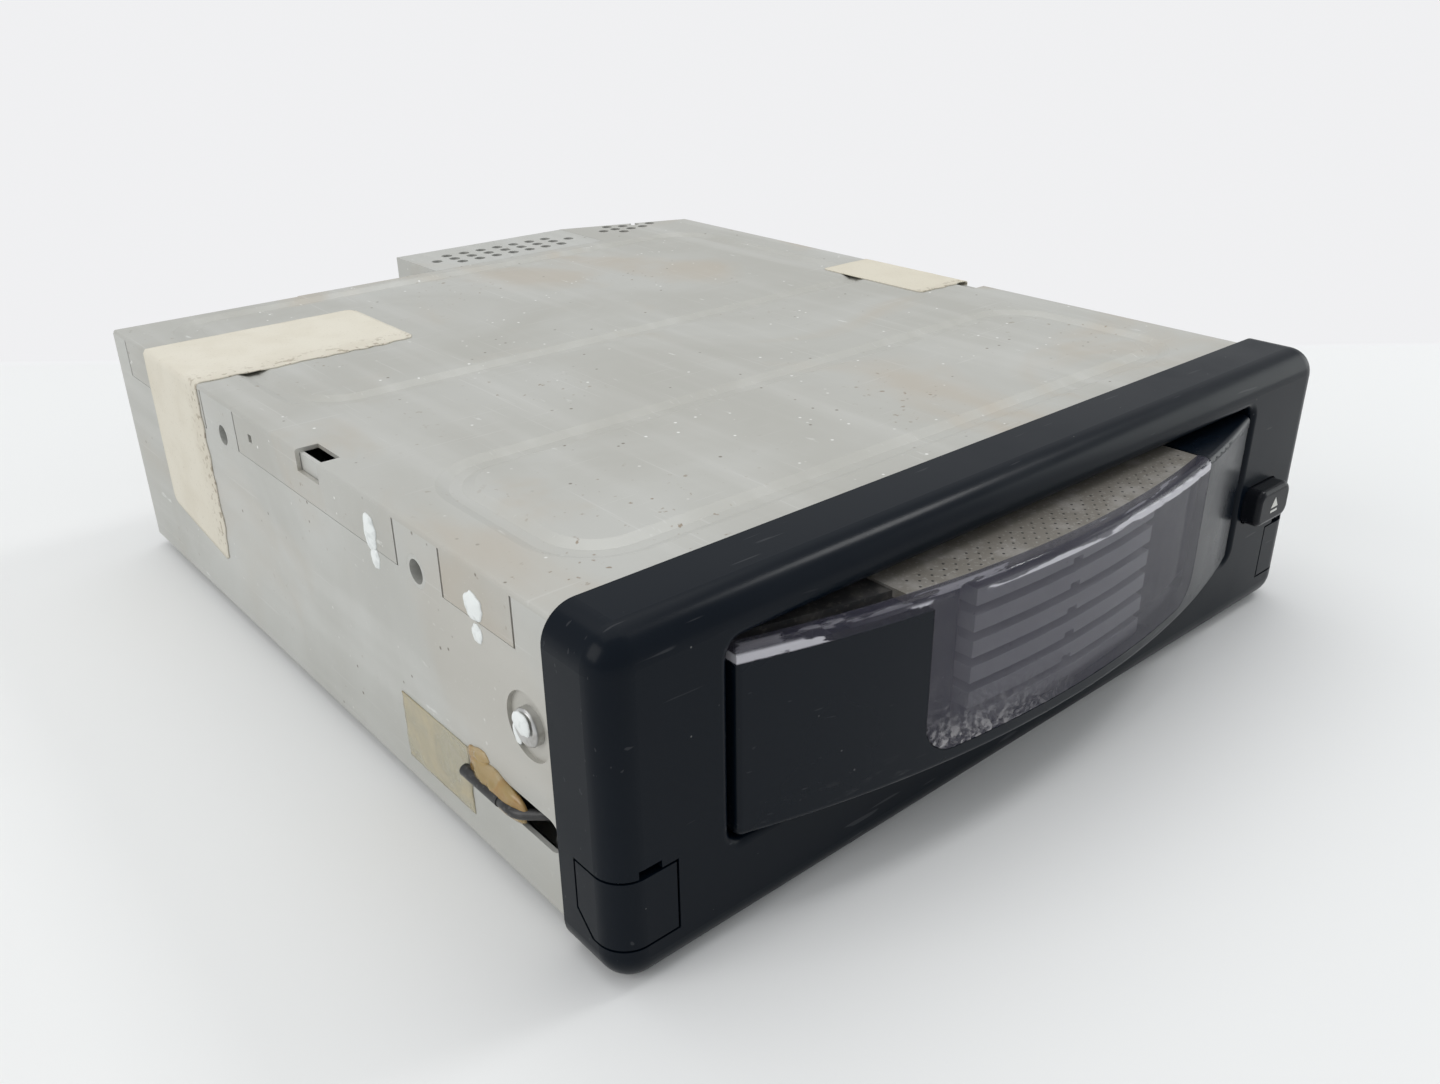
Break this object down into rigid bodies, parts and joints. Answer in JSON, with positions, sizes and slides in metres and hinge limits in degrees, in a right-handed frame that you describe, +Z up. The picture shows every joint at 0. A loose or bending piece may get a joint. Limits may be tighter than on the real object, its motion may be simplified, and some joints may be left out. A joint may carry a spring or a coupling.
{
  "type": "car cd changer",
  "caption": "Single-slot dashboard CD changer: black faceplate with a bulging smoky magazine front that slides out, galvanised case, disc trays, lifting playing deck.",
  "frame": {"origin": "centre of the base of the whole changer", "axes": "+X to the right seen from the front, +Y to the back, +Z up"},
  "size_m": [0.184, 0.232, 0.0572],
  "materials": {
    "faceplate_black": "satin black moulded plastic",
    "galvanised_steel": "dull galvanised sheet with stains and scratches",
    "screw_steel": "plated steel",
    "dark_shell": "dark glossy plastic with fine scratches",
    "smoky_clear": "smoky clear plastic",
    "grip_grey": "grey brown textured plastic",
    "case_black": "matte black plastic",
    "tray_grey": "mid grey plastic",
    "spring_steel": "thin spring steel",
    "lamp_amber": "translucent lamp body",
    "lead_black": "dark insulation",
    "paper": "aged beige paper",
    "tape": "yellowed clear tape",
    "board_green": "green circuit board",
    "chip_black": "moulded components",
    "contact_brass": "plated contacts",
    "ribbon_white": "flat cable insulation",
    "damper_rubber": "soft rubber",
    "bush_white": "white acetal",
    "motor_can": "motor can",
    "shaft_steel": "turned steel",
    "turntable_black": "black plastic",
    "arm_steel": "pressed steel",
    "lens_glass": "coated lens"
  },
  "bodies": {
    "chassis": {"bottom_pan": "galvanised_steel", "left_side": "galvanised_steel", "right_side": "galvanised_steel", "top_lid": "galvanised_steel", "rear_cover": "galvanised_steel", "clinch_nuts": "galvanised_steel", "front_frame": "galvanised_steel", "frame_screws": "screw_steel", "face_plate": "faceplate_black", "face_lamp": "lamp_amber", "lamp_lead": "lead_black", "lead_sleeve": "lead_black", "paper_label_left": "paper", "paper_label_right": "paper", "clear_tape": "tape", "base_plate": "galvanised_steel", "rubber_dampers": "damper_rubber", "base_screws": "screw_steel", "left_guide": "case_black", "right_guide": "case_black", "base_posts": "screw_steel", "motor_bracket": "galvanised_steel", "lift_motor": "motor_can", "control_board": "board_green", "board_parts": "chip_black", "rear_board": "board_green", "rear_socket": "chip_black", "socket_pins": "contact_brass", "ribbon_cable": "ribbon_white", "eject_spring": "spring_steel"},
    "magazine": {"magazine_base": "case_black", "magazine_cover": "case_black", "magazine_front": "dark_shell", "magazine_window": "smoky_clear", "end_grip": "dark_shell", "grip_strip": "grip_grey"},
    "tray_body_1": {"tray_1": "tray_grey"},
    "tray_body_2": {"tray_2": "tray_grey"},
    "tray_body_3": {"tray_3": "tray_grey"},
    "tray_body_4": {"tray_4": "tray_grey"},
    "tray_body_5": {"tray_5": "tray_grey"},
    "tray_body_6": {"tray_6": "tray_grey"},
    "deck": {"deck_frame": "galvanised_steel", "deck_bushes": "bush_white", "spindle_motor": "motor_can", "guide_rod": "screw_steel", "sled_motor": "motor_can", "clamp_pin": "screw_steel"},
    "lift_screw_body": {"lift_screw": "shaft_steel"},
    "lift_pinion_body": {"lift_pinion": "bush_white"},
    "turntable_body": {"turntable": "turntable_black"},
    "clamp_arm_body": {"clamp_arm": "arm_steel"},
    "clamp_puck_body": {"clamp_puck": "bush_white"},
    "sled": {"pickup_sled": "turntable_black"},
    "lens": {"focus_lens": "lens_glass"},
    "lead_screw_body": {"lead_screw": "shaft_steel"},
    "button": {"eject_button": "dark_shell"},
    "latch": {"magazine_latch": "bush_white"},
    "left_cover": {"left_screw_cover": "faceplate_black"},
    "right_cover": {"right_screw_cover": "faceplate_black"}
  },
  "joints": [
    {"name": "magazine_slide", "type": "slide", "parent": "chassis", "child": "magazine", "axis": [0, -1, 0], "range_m": [0, 0.15]},
    {"name": "tray_1_slide", "type": "slide", "parent": "magazine", "child": "tray_body_1", "axis": [0, 1, 0], "range_m": [0, 0.0755]},
    {"name": "tray_2_slide", "type": "slide", "parent": "magazine", "child": "tray_body_2", "axis": [0, 1, 0], "range_m": [0, 0.0755]},
    {"name": "tray_3_slide", "type": "slide", "parent": "magazine", "child": "tray_body_3", "axis": [0, 1, 0], "range_m": [0, 0.0755]},
    {"name": "tray_4_slide", "type": "slide", "parent": "magazine", "child": "tray_body_4", "axis": [0, 1, 0], "range_m": [0, 0.0755]},
    {"name": "tray_5_slide", "type": "slide", "parent": "magazine", "child": "tray_body_5", "axis": [0, 1, 0], "range_m": [0, 0.0755]},
    {"name": "tray_6_slide", "type": "slide", "parent": "magazine", "child": "tray_body_6", "axis": [0, 1, 0], "range_m": [0, 0.0755]},
    {"name": "deck_lift", "type": "slide", "parent": "chassis", "child": "deck", "axis": [0, 0, 1], "range_m": [0, 0.02325]},
    {"name": "lift_screw_spin", "type": "hinge", "parent": "chassis", "child": "lift_screw_body", "pos_m": [0.0595, 0.08015, 0.0076], "axis": [0, 0, 1], "range_deg": [0, 1395]},
    {"name": "lift_pinion_spin", "type": "hinge", "parent": "chassis", "child": "lift_pinion_body", "pos_m": [0.0721, 0.08015, 0.0076], "axis": [0, 0, 1], "range_deg": [-2790, 0]},
    {"name": "turntable_spin", "type": "hinge", "parent": "deck", "child": "turntable_body", "pos_m": [-0.0025, 0.02945, 0.0203], "axis": [0, 0, 1], "continuous": true},
    {"name": "clamp_lift", "type": "hinge", "parent": "deck", "child": "clamp_arm_body", "pos_m": [-0.0025, 0.08695, 0.0248], "axis": [-1, 0, 0], "range_deg": [0, 2.4], "stiffness_Nm_per_rad": 0.02},
    {"name": "puck_spin", "type": "hinge", "parent": "clamp_arm_body", "child": "clamp_puck_body", "pos_m": [-0.0025, 0.02945, 0.0242], "axis": [0, 0, 1], "continuous": true},
    {"name": "sled_slide", "type": "slide", "parent": "deck", "child": "sled", "axis": [0, 1, 0], "range_m": [0, 0.0335]},
    {"name": "lead_screw_spin", "type": "hinge", "parent": "deck", "child": "lead_screw_body", "pos_m": [0.0125, 0.01695, 0.014], "axis": [0, 1, 0], "range_deg": [0, 6030]},
    {"name": "lens_focus", "type": "slide", "parent": "sled", "child": "lens", "axis": [0, 0, 1], "range_m": [0, 0.0008], "stiffness_N_per_m": 20},
    {"name": "eject_press", "type": "slide", "parent": "chassis", "child": "button", "axis": [0, 1, 0], "range_m": [0, 0.0022], "stiffness_N_per_m": 400, "deforming": ["eject_spring"]},
    {"name": "latch_swing", "type": "hinge", "parent": "chassis", "child": "latch", "pos_m": [0.084, -0.08175, 0.0275], "axis": [0, 0, -1], "range_deg": [0, 14.83]},
    {"name": "left_cover_pull", "type": "slide", "parent": "chassis", "child": "left_cover", "axis": [0, -1, 0], "range_m": [0, 0.012]},
    {"name": "right_cover_pull", "type": "slide", "parent": "chassis", "child": "right_cover", "axis": [0, -1, 0], "range_m": [0, 0.012]}
  ],
  "couplings": [
    {"joint": "lift_screw_spin", "follows": "deck_lift", "rad_per_m": 1047.2},
    {"joint": "lift_pinion_spin", "follows": "deck_lift", "rad_per_m": -2094.4},
    {"joint": "puck_spin", "follows": "turntable_spin", "ratio": 1},
    {"joint": "lead_screw_spin", "follows": "sled_slide", "rad_per_m": 3141.6},
    {"joint": "latch_swing", "follows": "eject_press", "rad_per_m": 117.65}
  ]
}
